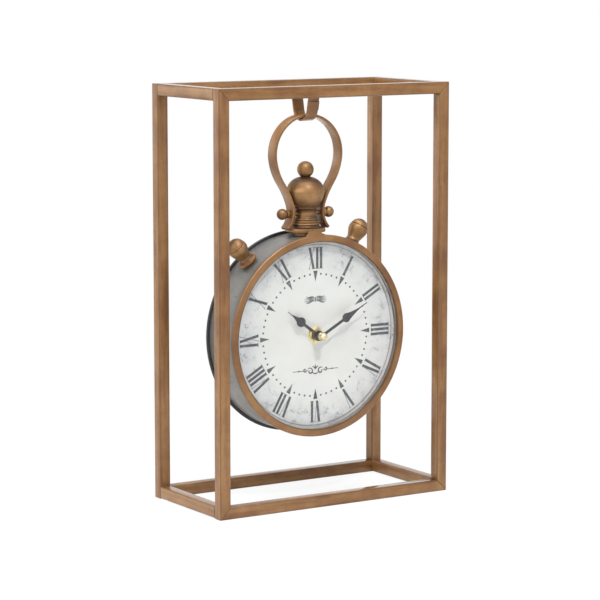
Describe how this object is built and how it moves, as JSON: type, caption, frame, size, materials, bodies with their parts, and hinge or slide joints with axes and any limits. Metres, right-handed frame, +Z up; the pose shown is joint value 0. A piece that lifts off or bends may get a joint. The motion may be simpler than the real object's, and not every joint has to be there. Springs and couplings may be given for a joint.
{
  "type": "table clock",
  "caption": "Round cased table clock with crown and side buttons, hung by a strap bail inside an open rectangular tube frame.",
  "frame": {"origin": "centre of the frame's footprint on the table", "axes": "+Z up, dial faces -Y, +X to the right of someone who reads the dial"},
  "size_m": [0.225, 0.11, 0.35],
  "materials": {
    "frame_copper": "satin antique copper paint",
    "aged_bronze": "aged satin bronze",
    "grey_metal": "satin grey metal",
    "black_cover": "satin black paint",
    "lens": "clear",
    "ring_metal": "satin",
    "dial_white": "matt worn white with printed numerals",
    "hand_grey": "matt dark grey",
    "nut_brass": "bright",
    "steel": "plain zinc plated",
    "black_plastic": "matt",
    "cell_wrap": "plain wrap"
  },
  "bodies": {
    "frame": {"front_left_post": "frame_copper", "front_right_post": "frame_copper", "front_top_rail": "frame_copper", "front_bottom_rail": "frame_copper", "rear_left_post": "frame_copper", "rear_right_post": "frame_copper", "rear_top_rail": "frame_copper", "rear_bottom_rail": "frame_copper", "left_top_tie": "frame_copper", "left_bottom_tie": "frame_copper", "right_top_tie": "frame_copper", "right_bottom_tie": "frame_copper", "hanger_bar": "frame_copper", "hanger_strap": "frame_copper"},
    "bail": {"bail_strap": "frame_copper"},
    "case": {"case_band": "grey_metal", "rear_cover": "black_cover", "bezel": "frame_copper", "glass_lens": "lens", "inner_ring": "ring_metal", "dial_plate": "dial_white", "dial_retainer": "ring_metal", "crown_pillar": "aged_bronze", "crown_ball": "aged_bronze", "crown_nut": "steel", "bail_pin_left": "aged_bronze", "bail_pin_right": "aged_bronze", "left_pusher": "aged_bronze", "right_pusher": "aged_bronze", "left_pusher_nut": "steel", "right_pusher_nut": "steel", "movement_case": "black_plastic", "battery": "cell_wrap", "contact_positive": "steel", "contact_negative": "steel", "threaded_bush": "nut_brass", "dial_washer": "nut_brass", "dial_nut": "nut_brass"},
    "minute": {"minute_hand": "hand_grey", "minute_cap": "nut_brass"},
    "hour": {"hour_hand": "hand_grey"},
    "knob": {"set_knob": "black_plastic"}
  },
  "joints": [
    {"name": "hanger_swing", "type": "hinge", "parent": "frame", "child": "bail", "pos_m": [0, -0.006, 0.2909], "axis": [0, 1, 0], "range_deg": [-5, 5]},
    {"name": "case_tilt", "type": "hinge", "parent": "bail", "child": "case", "pos_m": [0, -0.006, 0.241], "axis": [1, 0, 0], "range_deg": [-45, 45]},
    {"name": "minute_turn", "type": "hinge", "parent": "case", "child": "minute", "pos_m": [0, -0.03, 0.1395], "axis": [0, 1, 0], "continuous": true},
    {"name": "hour_turn", "type": "hinge", "parent": "case", "child": "hour", "pos_m": [0, -0.027, 0.1395], "axis": [0, 1, 0], "continuous": true},
    {"name": "knob_turn", "type": "hinge", "parent": "case", "child": "knob", "pos_m": [0, -0.002, 0.154], "axis": [0, 1, 0], "continuous": true}
  ],
  "couplings": [
    {"joint": "hour_turn", "follows": "minute_turn", "ratio": 0.083333},
    {"joint": "knob_turn", "follows": "minute_turn", "ratio": 1}
  ]
}
